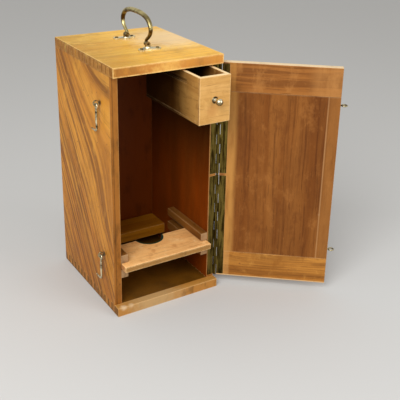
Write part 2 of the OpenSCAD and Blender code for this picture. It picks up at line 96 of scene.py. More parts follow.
def make_floor():
    finish, _, shader = start("pale floor")
    shader.inputs["Base Color"].default_value = FLOOR_TONE
    shader.inputs["Roughness"].default_value = 0.85
    mesh = bpy.data.meshes.new("floor")
    bm = bmesh.new()
    bmesh.ops.create_grid(bm, x_segments=1, y_segments=1, size=FLOOR_HALF_SIDE)
    bm.to_mesh(mesh)
    bm.free()
    mesh.materials.append(finish)
    floor = bpy.data.objects.new("floor", mesh)
    bpy.context.collection.objects.link(floor)


def soft_lamp(name, place, watts):
    data = bpy.data.lights.new(name, "AREA")
    data.shape = "SQUARE"
    data.size = LAMP_SIDE
    data.energy = watts
    lamp = bpy.data.objects.new(name, data)
    lamp.location = place
    lamp.rotation_mode = "QUATERNION"
    lamp.rotation_quaternion = (Vector(LAMPS_AIM) - Vector(place)).to_track_quat("-Z", "Y")
    bpy.context.collection.objects.link(lamp)
    print(name, "of", watts, "W at", place)


def make_sky(strength):
    world = bpy.data.worlds.new("sky")
    world.use_nodes = True
    sky = world.node_tree.nodes["Background"]
    sky.inputs["Color"].default_value = SKY_TONE
    sky.inputs["Strength"].default_value = strength
    bpy.context.scene.world = world


make_floor()
soft_lamp("window lamp", (-0.95, -0.85, 1.15), 20.0)
soft_lamp("fill lamp", (0.75, -1.35, 0.75), 7.0)
make_sky(0.60)
bpy.context.scene.view_settings.view_transform = "Standard"

# %% [markdown]
# Finishes are trees of shader nodes. They could be drawn by hand in the node editor, but code can
# reuse one tree for many boards. A helper adds a node, sets its sockets and joins it to what feeds
# it, so that each finish below reads as a list of what is seen on the real surface.

# %% Adding nodes
MIX_SHARE, MIX_FIRST, MIX_SECOND, MIX_RESULT = 0, 6, 7, 2  # the colour sockets of a Mix node


def feed(tree, node, socket, value):
    """Joins a node's socket to another socket, or sets it to a number or colour."""
    if isinstance(value, bpy.types.NodeSocket):
        tree.links.new(value, node.inputs[socket])
    else:
        node.inputs[socket].default_value = value


def add(tree, kind, feeds, **props):
    node = tree.nodes.new(kind)
    for key, value in props.items():
        setattr(node, key, value)
    for socket, value in feeds.items():
        feed(tree, node, socket, value)
    return node


def blend(tree, share, first, second, how="MIX"):
    """The first colour where share is 0, and the second where it is 1."""
    feeds = {MIX_SHARE: share, MIX_FIRST: first, MIX_SECOND: second}
    return add(tree, "ShaderNodeMix", feeds, data_type="RGBA", blend_type=how).outputs[MIX_RESULT]


def ramp(tree, value, low, high, bottom=0.0, top=1.0):
    """A smooth step from bottom to top as the value goes from low to high."""
    feeds = {"Value": value, "From Min": low, "From Max": high, "To Min": bottom, "To Max": top}
    return add(tree, "ShaderNodeMapRange", feeds, interpolation_type="SMOOTHSTEP").outputs["Result"]


def bumps(tree, shader, height, strength, distance):
    feeds = {"Height": height, "Strength": strength, "Distance": distance}
    tree.links.new(add(tree, "ShaderNodeBump", feeds).outputs[0], shader.inputs["Normal"])


print("node helpers ready")

# %% [markdown]
# Masks and patterns need some arithmetic on numbers and on places. Each operation is a node too,
# and a short name for each keeps the sums readable.

# %% Sums of numbers and places
def maths(tree, operation, a, b=0.0, clamp=False):
    node = add(tree, "ShaderNodeMath", {0: a, 1: b}, operation=operation, use_clamp=clamp)
    return node.outputs[0]


def plus(tree, a, b, clamp=False):
    return maths(tree, "ADD", a, b, clamp)


def minus(tree, a, b):
    return maths(tree, "SUBTRACT", a, b)


def times(tree, first, *others):
    for other in others:
        first = maths(tree, "MULTIPLY", first, other)
    return first


def vectors(tree, operation, a, b, result="Vector"):
    return add(tree, "ShaderNodeVectorMath", {0: a, 1: b}, operation=operation).outputs[result]


def parts(tree, vector):
    return add(tree, "ShaderNodeSeparateXYZ", {0: vector}).outputs


def stretched(tree, place, scale, shift=(0, 0, 0)):
    """The place times a number, or times three of them, and then shifted."""
    scales = scale if isinstance(scale, tuple) else (scale,) * 3
    feeds = {"Vector": place, "Scale": scales, "Location": shift}
    return add(tree, "ShaderNodeMapping", feeds).outputs[0]


def noise(tree, place, scale, detail=3.0, rough=0.55, warp=0.0, shift=(0, 0, 0)):
    """Clouds of noise, about as many to the metre as scale says."""
    feeds = {"Vector": stretched(tree, place, scale, shift), "Scale": 1.0, "Detail": detail,
             "Roughness": rough, "Distortion": warp}
    return add(tree, "ShaderNodeTexNoise", feeds).outputs["Fac"]


print("sums ready")

# %% [markdown]
# Colours are plain numbers here, so they can be named once and made deeper or paler by the share
# that a stain or a rubbed corner needs.

# %% Colours
def colour(r, g, b):
    return (r, g, b, 1.0)


def deeper(tone, share):
    return [c * share for c in tone[:3]] + [1]


def halfway(first, second):
    return [(a + b) / 2 for a, b in zip(first[:3], second[:3])] + [1]


BARE_WOOD = colour(0.90, 0.66, 0.36)
print("a rubbed corner tends to", BARE_WOOD)

# %% [markdown]
# Wood is drawn in its own directions: the pattern's Z runs along the grain, and two Mapping nodes
# turn it that way on each board. The grain of the left side falls towards the front in a slow
# curve, and it takes its own sums. A slow wave keeps every streak from running dead straight. The
# sawn ends are found from the direction that they face.

# %% Grain
PI = math.pi
ALONG_Z = (0, 0, 0)
ALONG_Y = (PI / 2, 0, 0)
ALONG_X = (0, PI / 2, 0)
DOOR_TURN = math.radians(141)
WITH_DOOR = PI - DOOR_TURN
BACK_EDGE = 0.077
EASED_HEIGHTS = (0.08, 0.27)
DOWN_THE_GRAIN = (0.53, 0.85)  # the shares of forwards and of downwards in the left side's grain
WAVES = (9, 3.2)  # repeats in a metre, across the grain and along it


def turned(tree, vector, turn, yaw, kind="POINT"):
    """The vector in the pattern's axes: swung level by yaw first, then by turn."""
    for rotation in ((0, 0, yaw), turn):
        feeds = {"Vector": vector, "Rotation": rotation}
        vector = add(tree, "ShaderNodeMapping", feeds, vector_type=kind).outputs[0]
    return vector


def falling_place(tree, coords, fall, ease):
    """Pattern coordinates for grain that falls towards the front, and less steeply high up."""
    here = parts(tree, coords["Object"])
    ahead = minus(tree, BACK_EDGE, here["Y"])
    eased = times(tree, ahead, ahead, ramp(tree, here["Z"], *EASED_HEIGHTS, 0.0, ease))
    across = minus(tree, plus(tree, here["Z"], times(tree, ahead, fall)), eased)
    across = times(tree, across, 1 / math.hypot(1, fall))
    forwards, downwards = DOWN_THE_GRAIN
    along = minus(tree, times(tree, ahead, forwards), times(tree, here["Z"], downwards))
    return add(tree, "ShaderNodeCombineXYZ", {"X": across, "Y": here["X"], "Z": along}).outputs[0]


def grain_place(tree, coords, turn, yaw, bend):
    """Pattern coordinates: straight along the turned Z, or falling as bend says."""
    if bend is None:
        return turned(tree, coords["Object"], turn, yaw)
    return falling_place(tree, coords, *bend)


def end_grain(tree, coords, turn, yaw):
    look = turned(tree, coords["Normal"], turn, yaw, "NORMAL")
    return ramp(tree, maths(tree, "ABSOLUTE", parts(tree, look)["Z"]), 0.75, 0.95)


def drawn_out(tree, place, repeats, seed, detail=3.0, rough=0.6, warp=0.0):
    """Noise drawn out along the grain; repeats says how often in a metre, across and along."""
    across, along = repeats
    return noise(tree, place, (across, across, along), detail, rough, warp, (seed, seed * 0.7, 0))


def wavy(tree, place, seed, amount):
    """The pattern's place, pushed sideways by a slow wave."""
    push = times(tree, minus(tree, drawn_out(tree, place, WAVES, seed, 2.0), 0.5), amount)
    offset = add(tree, "ShaderNodeCombineXYZ", {"X": push, "Y": push}).outputs[0]
    return vectors(tree, "ADD", place, offset)


print("the door's grain is swung level by", round(math.degrees(WITH_DOOR)), "degrees")

# %% [markdown]
# The colour of a board is built up in layers, from broad bands to pores, because a single streaky
# noise looks printed. Sawn ends are darker and have rings and specks in place of streaks, and
# convex corners are rubbed down to paler wood.

# %% Layers of a board's colour
BANDS = (42, 1.6)
SLOW_CHANGE = (14, 3.0)
FINE_LINES = (260, 4.0)
SWEEPS = (125, 2.4)
PORES = (1300, 38)
RINGS = (420, 420)


def streaks(tree, place, tones, figure, bold, seed):
    """Broad bands, fine lines, and with bold above 0 a few strong dark sweeps."""
    pale, mid, dark = tones
    bands = ramp(tree, drawn_out(tree, place, BANDS, seed, 3.0, 0.55, 0.6), 0.34, 0.66)
    fine = drawn_out(tree, place, FINE_LINES, seed + 5, 4.0, 0.62)
    slow = drawn_out(tree, place, SLOW_CHANGE, seed + 9, 2.0, 0.5)
    sweep = ramp(tree, drawn_out(tree, place, SWEEPS, seed + 13, 4.0, 0.6, 0.4), 0.48, 0.60)
    lines = times(tree, ramp(tree, fine, 0.50, 0.66), ramp(tree, slow, 0.30, 0.60, 0.35, 1.0))
    tone = blend(tree, bands, mid, pale)
    tone = blend(tree, ramp(tree, slow, 0.50, 0.68, 0.0, 0.75 * figure), tone, dark)
    tone = blend(tree, times(tree, lines, figure), tone, dark)
    return blend(tree, times(tree, sweep, bold), tone, dark), fine


def pores_of(tree, place):
    return ramp(tree, drawn_out(tree, place, PORES, 0, 2.0), 0.57, 0.70)


def sawn_end(tree, place, dark):
    specks = noise(tree, place, 650, 2.0)
    rings = drawn_out(tree, place, RINGS, 1.0, 2.0)
    tone = blend(tree, ramp(tree, specks, 0.40, 0.65), deeper(dark, 0.55), deeper(dark, 0.95))
    return blend(tree, ramp(tree, rings, 0.5, 0.6, 0.0, 0.4), tone, deeper(dark, 0.4))


def rubbed_edges(tree, rub, width):
    """1 on corners, broken up by the noise rub."""
    rounded = add(tree, "ShaderNodeBevel", {"Radius": width}, samples=4).outputs[0]
    plain = tree.nodes.new("ShaderNodeNewGeometry").outputs["Normal"]
    same = vectors(tree, "DOT_PRODUCT", rounded, plain, "Value")
    return times(tree, ramp(tree, same, 0.995, 0.90), ramp(tree, rub, 0.30, 0.56, 0.25, 1.0))


print("layers ready")

# %% [markdown]
# One function joins the layers into a board's finish. Its marks come after the grain, as they do
# on the real board, and the rubbed corners lie over all. The varnish is thin and old, so the coat
# is faint and the gloss uneven, and the pores make the finest bumps.

# %% A board's finish
SWEEPS_END = (0.205, 0.165)  # places across the falling grain between which its sweeps set in


def wood(name, pale, mid, dark, turn=ALONG_Z, yaw=0.0, bend=None, figure=0.6, wear=0.5,
         rough=0.42, coat=0.02, wave=0.03, bold=0.0, rub_width=0.0018, marks=(), seed=0.0):
    mat, tree, shader = start(name)
    coords = tree.nodes.new("ShaderNodeTexCoord").outputs
    place = wavy(tree, grain_place(tree, coords, turn, yaw, bend), seed, wave)
    end = end_grain(tree, coords, turn, yaw)
    pores = pores_of(tree, place)
    if bend:
        bold = ramp(tree, parts(tree, place)["X"], *SWEEPS_END, 0.12 * bold, bold)
    tone, fine = streaks(tree, place, (pale, mid, dark), figure, bold, seed)
    tone = blend(tree, times(tree, pores, 0.45), tone, deeper(dark, 0.5))
    tone = blend(tree, times(tree, end, 0.85), tone, sawn_end(tree, place, dark))
    stain = noise(tree, coords["Object"], 15, 5.0, 0.65, shift=(seed + 3, 0, 0))
    tone = blend(tree, ramp(tree, stain, 0.56, 0.76, 0.0, 0.38), tone, deeper(dark, 0.55))
    for mark in marks:
        tone = mark(tree, coords, tone)
    rub = noise(tree, coords["Object"], 70, 4.0, 0.7)
    less_on_ends = minus(tree, 1.0, times(tree, end, 0.75))
    edge = times(tree, rubbed_edges(tree, rub, rub_width), wear, less_on_ends)
    feed(tree, shader, "Base Color", blend(tree, edge, tone, halfway(pale, BARE_WOOD)))
    gloss = plus(tree, times(tree, rub, 0.24), rough - 0.12)
    feed(tree, shader, "Roughness", plus(tree, gloss, times(tree, end, 0.2)))
    shader.inputs["Coat Weight"].default_value = coat
    shader.inputs["Coat Roughness"].default_value = 0.3
    shader.inputs["Specular IOR Level"].default_value = 0.14
    bumps(tree, shader, minus(tree, times(tree, fine, 0.5), pores), 0.3, 0.0003)
    return mat


print("wood ready")

# %% [markdown]
# Marks belong to one place on a board. Each is a function that takes the colour so far and gives
# it back with the mark laid on, so a board can have any number of them. The first ones go by the
# height or the side of the case: the painted shade inside, a fade towards the floor, the faces that
# look one way, and stripes.

# %% Marks by height and side
# Along each axis the chamber's two bounds, and how softly its painted shade starts there.
CHAMBER = {"X": (-0.0652, 0.0652, 0.0004), "Y": (-0.0764, 0.2, 0.0006),
           "Z": (0.0114, 0.3186, 0.0003)}


def between(tree, value, low, high, soft=0.0006):
    first = ramp(tree, value, low - soft, low + soft)
    return times(tree, first, ramp(tree, value, high + soft, high - soft))


def painted_inside_shade(shade, strength=0.94):
    """Paints shade on the faces that look into the chamber, between the sides and behind the front.
    """
    def mark(tree, coords, tone):
        here = parts(tree, coords["Object"])
        inside = times(tree, *[between(tree, here[axis], *CHAMBER[axis]) for axis in "XYZ"])
        cloud = noise(tree, coords["Object"], (30, 30, 6))
        deep_tone = blend(tree, ramp(tree, cloud, 0.35, 0.7), shade, deeper(shade, 0.6))
        # painted shade: darker still high up, where the top board shades the chamber
        deep_tone = blend(tree, ramp(tree, here["Z"], 0.10, 0.26), deep_tone, deeper(shade, 0.11))
        return blend(tree, times(tree, inside, strength), tone, deep_tone)
    return mark


def fade(axis, low, high, tint):
    """Darkens towards low along one axis, by the given tint."""
    def mark(tree, coords, tone):
        here = parts(tree, coords["Object"])[axis]
        return blend(tree, ramp(tree, here, low, high, 1.0, 0.0), tone, tint, "MULTIPLY")
    return mark


def facing(axis, sign, heights, paint, strength, smudges=0.42):
    """Colours the faces that look along an axis, between two heights."""
    def mark(tree, coords, tone):
        look = times(tree, parts(tree, coords["Normal"])[axis], sign)
        tall = between(tree, parts(tree, coords["Object"])["Z"], *heights)
        smudge = noise(tree, coords["Object"], (60, 60, 22), 4.0, 0.65)
        smudged = blend(tree, ramp(tree, smudge, 0.50, 0.72), paint, deeper(paint, smudges))
        return blend(tree, times(tree, ramp(tree, look, 0.6, 0.9), tall, strength), tone, smudged)
    return mark


def band(axis, low, high, paint, strength):
    """A ragged stripe between two places along an axis."""
    def mark(tree, coords, tone):
        ragged = noise(tree, coords["Object"], 110)
        share = times(tree, between(tree, parts(tree, coords["Object"])[axis], low, high),
                      ramp(tree, ragged, 0.25, 0.5, 0.5, 1.0), strength)
        return blend(tree, share, tone, paint)
    return mark


print("the chamber is coloured between", CHAMBER)

# %% [markdown]
# The door stands open at its own angle, so its marks are placed by the distance from the hinge
# along the door, and only on the face that is turned inwards when the door is shut. They stay on
# the wood when the door swings, because the pattern belongs to the piece and not to the room.

# %% Marks on the door
HINGE = (0.0773, -0.077)
DOOR_ALONG = (-math.cos(DOOR_TURN), -math.sin(DOOR_TURN))
DOOR_LOOK = (-math.sin(DOOR_TURN), math.cos(DOOR_TURN))
TO_INNER_FACE = (-0.0025, -0.0031)


def door_reach(tree, coords):
    """Distance from the hinge axis along the open door."""
    from_hinge = vectors(tree, "SUBTRACT", coords["Object"], (*HINGE, 0.0))
    return vectors(tree, "DOT_PRODUCT", from_hinge, (*DOOR_ALONG, 0.0), "Value")


def inner_face(tree, coords):
    """1 on the faces of the open door that look the way its inside does."""
    look = vectors(tree, "DOT_PRODUCT", coords["Normal"], (*DOOR_LOOK, 0.0), "Value")
    return ramp(tree, look, 0.5, 0.8)


def on_door(reach, height):
    """A point on the inner face of the open door."""
    level = [h + a * reach + t for h, a, t in zip(HINGE, DOOR_ALONG, TO_INNER_FACE)]
    return (*level, height)


def strip_on_door(low, high, paint, strength, soft=0.0015):
    def mark(tree, coords, tone):
        ragged = noise(tree, coords["Object"], (90, 90, 16))
        share = times(tree, between(tree, door_reach(tree, coords), low, high, soft),
                      inner_face(tree, coords), ramp(tree, ragged, 0.25, 0.55, 0.45, 1.0), strength)
        return blend(tree, share, tone, paint)
    return mark


print("the door runs along", [round(a, 3) for a in DOOR_ALONG])

# %% [markdown]
# Years of use leave cloudy tones, soft patches and small knocks. The knocks come from the cells of
# a fine pattern: a few cells are picked, and each shows a speck at its middle.

# %% Clouds, patches and knocks
def mottle(scale, light, shade, strength, seed):
    """Ragged clouds of a lighter and a darker tone, a little drawn out upwards."""
    def mark(tree, coords, tone):
        cloud = noise(tree, coords["Object"], (scale, scale, scale * 0.6), 6.0, 0.72,
                      shift=(seed, 0, 0))
        tone = blend(tree, ramp(tree, cloud, 0.52, 0.68, 0.0, strength), tone, light)
        return blend(tree, ramp(tree, cloud, 0.48, 0.34, 0.0, strength), tone, shade)
    return mark


def patch(centre, radius, paint, strength):
    """A soft ragged patch round a point."""
    def mark(tree, coords, tone):
        away = vectors(tree, "DISTANCE", coords["Object"], centre, "Value")
        away = plus(tree, away, times(tree, noise(tree, coords["Object"], 160), radius * 0.7))
        return blend(tree, ramp(tree, away, radius * 1.5, radius * 0.6, 0.0, strength), tone, paint)
    return mark


def knocks(paint, scale, share, seed=0.0):
    """Small sharp specks in a share of the cells."""
    def mark(tree, coords, tone):
        place = stretched(tree, coords["Object"], scale, (seed, 0, 0))
        cell = add(tree, "ShaderNodeTexVoronoi", {"Vector": place, "Scale": 1.0, "Randomness": 1.0})
        picked = ramp(tree, parts(tree, cell.outputs["Color"])["X"], 1 - share, 1 - share + 0.02)
        speck = ramp(tree, cell.outputs["Distance"], 0.16, 0.06)
        return blend(tree, times(tree, speck, picked, 0.8), tone, paint)
    return mark


print("marks ready")

# %% [markdown]
# The two sides come first. The left one is the show side: a golden brown figure with dark sweeps
# from the back corner down to the front, paler on top. Both have brown front edges, and their
# inside is painted dark red as painted shade. Painted shadow darkens the wood round the two screw
# eyes that hold the hooks.

# %% Finishes of the sides
INSIDE_SHADE = colour(0.215, 0.034, 0.0006)
EYE_SHADOW = colour(0.04, 0.015, 0.004)
KNOCK = colour(0.12, 0.04, 0.01)
FRONT_EDGE = (0.012, 0.318)
HOOK_EYES = [(-0.075, -0.0498, height) for height in (0.2793, 0.0748)]

side_wood = wood(
    "swept left side", colour(0.70, 0.315, 0.040), colour(0.56, 0.218, 0.022),
    colour(0.150, 0.045, 0.005), bend=(1.6, 5.0), figure=0.75, bold=0.7, wear=0.25, wave=0.02,
    seed=1.0,
    marks=(mottle(26, colour(0.80, 0.38, 0.045), colour(0.30, 0.105, 0.012), 0.4, 6.0),
           fade("Z", 0.0, 0.25, colour(0.76, 0.66, 0.45)),
           facing("Y", -1, FRONT_EDGE, colour(0.28, 0.10, 0.016), 0.85),
           band("X", -0.0722, -0.0710, colour(0.06, 0.02, 0.004), 0.6),
           band("Z", 0.3172, 0.3400, colour(0.22, 0.085, 0.014), 0.6),
           # painted shadow: the hooks' drop shadow and recess shade round the two screw eyes
           *[patch(eye, 0.0045, EYE_SHADOW, 0.9) for eye in HOOK_EYES],
           painted_inside_shade(INSIDE_SHADE), knocks(KNOCK, 120, 0.05)))
right_wood = wood(
    "plain right side", colour(0.60, 0.27, 0.05), colour(0.46, 0.19, 0.03),
    colour(0.22, 0.080, 0.012), figure=0.65, bold=0.4, wear=0.3, wave=0.05, seed=1.6,
    marks=(fade("Z", 0.0, 0.26, colour(0.80, 0.74, 0.60)),
           facing("Y", -1, FRONT_EDGE, colour(0.28, 0.11, 0.02), 0.8),
           painted_inside_shade(INSIDE_SHADE), knocks(KNOCK, 120, 0.05)))
print("sides:", side_wood.name, "and", right_wood.name)

# %% [markdown]
# The top board is the best lit and the most golden, with a pale worn patch on its right and cream
# corners. The bottom board is duller, and its front is scuffed. The back board is plain outside
# and painted dark red within, as painted shade. The block and the runners inside are bare wood.

# %% Finishes of the top, bottom, back and inner pieces
TOP_EDGE = (0.31, 0.34)

top_wood = wood(
    "golden top", colour(0.98, 0.58, 0.090), colour(0.90, 0.48, 0.055), colour(0.48, 0.20, 0.022),
    turn=ALONG_X, figure=0.6, bold=0.25, wear=1.0, rub_width=0.0034, wave=0.03, seed=2.0,
    marks=(facing("Y", -1, TOP_EDGE, colour(0.55, 0.215, 0.045), 0.9, 0.75),
           facing("X", -1, TOP_EDGE, colour(0.36, 0.14, 0.022), 0.75, 0.6),
           fade("X", -0.078, 0.010, colour(0.64, 0.60, 0.50)), painted_inside_shade(INSIDE_SHADE),
           mottle(30, colour(0.98, 0.64, 0.16), colour(0.66, 0.29, 0.035), 0.4, 4.0),
           patch((0.055, 0.02, 0.33), 0.065, colour(0.95, 0.72, 0.42), 0.7),
           knocks(colour(0.30, 0.13, 0.04), 90, 0.08)))
base_wood = wood(
    "bottom board", colour(0.52, 0.26, 0.06), colour(0.42, 0.19, 0.035), colour(0.22, 0.085, 0.012),
    turn=ALONG_X, figure=0.6, wear=0.8, seed=3.0,
    marks=(facing("Y", -1, (-0.01, 0.02), colour(0.42, 0.18, 0.035), 0.9),
           patch((-0.02, -0.083, 0.012), 0.05, colour(0.50, 0.33, 0.15), 0.7),
           patch((-0.067, -0.086, 0.012), 0.0055, colour(0.80, 0.64, 0.42), 0.6),
           patch((-0.056, -0.086, 0.012), 0.0050, colour(0.74, 0.56, 0.34), 0.5),
           # painted shade on the chamber's floor, behind the front
           painted_inside_shade(colour(0.120, 0.045, 0.002), 0.95)))
back_wood = wood(
    "back board", colour(0.46, 0.21, 0.040), colour(0.35, 0.145, 0.022), colour(0.15, 0.050, 0.007),
    figure=0.7, bold=0.4, wear=0.3, seed=15.0,
    marks=(mottle(22, colour(0.50, 0.23, 0.045), colour(0.20, 0.07, 0.01), 0.45, 3.0),
           # painted shade: the back board's inner face is painted dark
           facing("Y", -1, (0.0, 0.34), colour(0.165, 0.029, 0.0008), 0.97, 0.6)))
block_wood = wood(
    "rear block", colour(0.46, 0.17, 0.006), colour(0.36, 0.12, 0.004), colour(0.17, 0.05, 0.002),
    turn=ALONG_X, figure=0.5, wear=0.5, rough=0.55, coat=0.0, seed=5.0)
runner_wood = wood(
    "runners", colour(0.24, 0.09, 0.015), colour(0.17, 0.06, 0.008), colour(0.09, 0.028, 0.004),
    turn=ALONG_Y, figure=0.5, wear=0.6, rough=0.5, coat=0.0, seed=6.0,
    marks=(facing("Y", -1, (0.0, 0.2), colour(0.42, 0.25, 0.12), 0.8),))
print("finishes so far:", len(bpy.data.materials))

# %% [markdown]
# The door is a reddish panel between two cross pieces, which are called clamps and keep it flat.
# Its inner face has a rubbed strip by the hinges, a paler one at the far edge, and a few chips
# that show bare wood.

# %% Finishes of the door
def places(name, axis):
    """Every vertex of a node along one axis."""
    thing = nodes[name]
    return [(thing.matrix_world @ v.co)[axis] for v in thing.data.vertices]


DOOR_FOOT = min(places("door_clamp_bottom", 2))
SPECK = colour(0.75, 0.62, 0.42)
BY_THE_HINGE = colour(0.50, 0.235, 0.055)

panel_wood = wood(
    "reddish door panel", colour(0.252, 0.088, 0.015), colour(0.172, 0.050, 0.006),
    colour(0.090, 0.022, 0.002), yaw=WITH_DOOR, figure=0.65, wear=0.3, seed=7.0,
    marks=(mottle(45, colour(0.34, 0.13, 0.028), colour(0.12, 0.032, 0.004), 0.45, 7.0),
           strip_on_door(0.1385, 0.160, colour(0.36, 0.15, 0.035), 0.5, 0.003),
           strip_on_door(0.1366, 0.1381, colour(0.50, 0.27, 0.11), 0.55, 0.0008),
           strip_on_door(0.010, 0.023, BY_THE_HINGE, 0.85, 0.004),
           patch(on_door(0.034, 0.2445), 0.0022, SPECK, 0.9),
           patch(on_door(0.041, 0.2375), 0.0016, SPECK, 0.8), knocks(SPECK, 60, 0.03)))
top_clamp_wood = wood(
    "top clamp", colour(0.36, 0.138, 0.030), colour(0.29, 0.102, 0.018), colour(0.12, 0.034, 0.005),
    turn=ALONG_X, yaw=WITH_DOOR, figure=0.7, bold=0.6, wear=0.4, seed=8.0,
    marks=(mottle(40, colour(0.44, 0.19, 0.048), colour(0.16, 0.048, 0.007), 0.5, 3.0),
           strip_on_door(0.010, 0.020, BY_THE_HINGE, 0.5),
           strip_on_door(0.118, 0.160, colour(0.46, 0.21, 0.06), 0.6, 0.012),
           # painted highlight: the door's top edge, which looks up, is painted cream
           facing("Z", 1, (0.28, 0.34), colour(0.84, 0.64, 0.38), 0.95, 0.8),
           knocks(SPECK, 60, 0.03, 4.0)))
low_clamp_wood = wood(
    "bottom clamp", colour(0.52, 0.225, 0.040), colour(0.40, 0.150, 0.022),
    colour(0.15, 0.048, 0.007), turn=ALONG_X, yaw=WITH_DOOR, figure=0.6, bold=0.5, wear=0.4,
    seed=9.0,
    marks=(mottle(45, colour(0.60, 0.28, 0.055), colour(0.24, 0.08, 0.010), 0.5, 5.0),
           strip_on_door(0.010, 0.020, colour(0.58, 0.30, 0.09), 0.5),
           band("Z", DOOR_FOOT, DOOR_FOOT + 0.0016, colour(0.70, 0.48, 0.24), 0.85),
           knocks(colour(0.20, 0.07, 0.02), 95, 0.06, 2.0)))
print("the door's foot is at", round(DOOR_FOOT, 4))

# %% [markdown]
# The drawer is of a lighter, plainer wood, with rubbed corners and a cream painted highlight along
# its top edges. Its sides are painted darker towards the back, as painted shade inside the case.
# The cradle board slides in and out below it. It is pinkish, worn pale on top and brown on its
# front edge.

# %% Finishes of the drawer and the cradle board
DRAWER_TOP = max(places("drawer_front", 2))
# painted highlight: the upward-facing faces along the drawer's top edges are painted cream
drawer_rim_highlight = facing("Z", 1, (DRAWER_TOP - 0.001, DRAWER_TOP + 0.002), colour(0.94, 0.72, 0.40),
                    0.97, 0.85)

drawer_wood = wood(
    "drawer front", colour(0.68, 0.385, 0.125), colour(0.58, 0.31, 0.088),
    colour(0.34, 0.15, 0.033), turn=ALONG_X, figure=0.45, wear=0.9, rub_width=0.0024, wave=0.02,
    seed=10.0,
    marks=(mottle(60, colour(0.80, 0.48, 0.16), colour(0.46, 0.22, 0.05), 0.45, 2.0), drawer_rim_highlight,
           patch((0.038, -0.1208, 0.272), 0.010, colour(0.46, 0.20, 0.05), 0.5)))
drawer_side_wood = wood(
    "drawer sides", colour(0.46, 0.235, 0.06), colour(0.36, 0.170, 0.040),
    colour(0.20, 0.075, 0.015), turn=ALONG_Y, figure=0.5, wear=0.3, seed=11.0,
    marks=(mottle(50, colour(0.58, 0.32, 0.09), colour(0.20, 0.08, 0.018), 0.55, 1.0),
           # painted shade: the sides darken towards the back, where they run inside the case
           fade("Y", -0.055, -0.120, colour(0.09, 0.06, 0.03)), drawer_rim_highlight))
cradle_wood = wood(
    "cradle board", colour(0.96, 0.54, 0.20), colour(0.86, 0.43, 0.14), colour(0.50, 0.20, 0.06),
    turn=ALONG_X, figure=0.55, wear=0.9, rub_width=0.0026, seed=12.0,
    marks=(mottle(48, colour(0.98, 0.66, 0.32), colour(0.56, 0.22, 0.06), 0.6, 2.0),
           facing("Y", -1, (0.05, 0.08), colour(0.30, 0.145, 0.036), 0.95)))
print("the drawer's top is at", round(DRAWER_TOP, 4), "finishes:", len(bpy.data.materials))

# %% [markdown]
# The brass is dull and spotted. Its colour drifts between pale rubbed metal and brown tarnish, and
# the tarnish is rougher. What faces down is painted darker, as painted shade. The long hinges are
# the darkest, their tarnish deepened by painted shade, and their spots are drawn out along them.

# %% Brass
def brass(name, bright, tarnish, share, rough, blots, under=0.0, above=None, drawn=1.0, seed=0.0):
    mat, tree, shader = start(name)
    coords = tree.nodes.new("ShaderNodeTexCoord").outputs
    place = coords["Object"]
    blot = noise(tree, place, (blots, blots, blots * drawn), 4.0, 0.62, 0.3, (seed, 0, 0))
    fine = noise(tree, place, 900, 3.0, 0.6)
    lift = parts(tree, coords["Normal"])["Z"]
    brown = times(tree, ramp(tree, blot, 0.40, 0.64), share)
    # painted shade: faces turned downwards are blended towards the tarnish colour
    brown = plus(tree, brown, ramp(tree, lift, 0.35, -0.35, 0.0, under), clamp=True)
    if above:
        higher = ramp(tree, parts(tree, place)["Z"], above, above + 0.0015)
        brown = plus(tree, brown, higher, clamp=True)
    tone = blend(tree, brown, bright, tarnish)
    tone = blend(tree, ramp(tree, fine, 0.56, 0.74, 0.0, 0.35), tone, deeper(tarnish, 0.5))
    feed(tree, shader, "Base Color", tone)
    feed(tree, shader, "Roughness", plus(tree, times(tree, blot, 0.28), rough - 0.12))
    shader.inputs["Metallic"].default_value = 1.0
    bumps(tree, shader, fine, 0.12, 0.0002)
    return mat


handle_brass = brass("handle brass", colour(0.66, 0.56, 0.25), colour(0.085, 0.048, 0.012),
                     share=0.7, rough=0.32, blots=60, under=0.75)
plate_brass = brass("grey handle plates", colour(0.94, 0.90, 0.66), colour(0.30, 0.22, 0.10),
                    share=0.5, rough=0.36, blots=170, above=0.3325)
hook_brass = brass("hook brass", colour(0.90, 0.82, 0.56), colour(0.036, 0.024, 0.008),
                   share=1.0, rough=0.30, blots=62, under=0.2, seed=2.0)
eye_brass = brass("eye brass", colour(0.52, 0.44, 0.25), colour(0.10, 0.07, 0.025),
                  share=0.85, rough=0.36, blots=200)
knob_brass = brass("knob brass", colour(0.84, 0.78, 0.56), colour(0.30, 0.22, 0.10),
                   share=0.5, rough=0.20, blots=110, under=0.85)
# painted shade: the hinge brass is made far darker than its tarnish alone
shaded_hinge_brass = brass("hinge brass", colour(0.175, 0.125, 0.028), colour(0.030, 0.018, 0.003),
                    share=1.0, rough=0.40, blots=330, drawn=0.10)
METAL = [handle_brass, plate_brass, hook_brass, eye_brass, knob_brass, shaded_hinge_brass]
print("brass:", [finish.name for finish in METAL])

# %% [markdown]
# The notch of the cradle board is lined with thin green cloth. It has a dark pile with a faint
# sheen, and it is rough enough for its bumps to show at the edge.

# %% Cloth
def cloth(name, pile, worn):
    mat, tree, shader = start(name)
    place = tree.nodes.new("ShaderNodeTexCoord").outputs["Object"]
    fuzz = noise(tree, place, 1500, 3.0, 0.7)
    faded = noise(tree, place, 120)
    tone = blend(tree, ramp(tree, fuzz, 0.35, 0.7, 0.0, 0.6), pile, worn)
    tone = blend(tree, ramp(tree, faded, 0.5, 0.8, 0.0, 0.4), tone, deeper(pile, 0.4))
    feed(tree, shader, "Base Color", tone)
    shader.inputs["Roughness"].default_value = 0.95
    shader.inputs["Sheen Weight"].default_value = 0.05
    shader.inputs["Specular IOR Level"].default_value = 0.1
    bumps(tree, shader, fuzz, 0.6, 0.0004)
    return mat


baize = cloth("green baize", colour(0.005, 0.024, 0.008), colour(0.012, 0.050, 0.016))
print("materials:", len(bpy.data.materials))

# %% [markdown]
# Each node of the frame gets its finish by name. Two boards of one finish still differ, because
# the pattern runs through the whole case and each board cuts its own piece out of it.

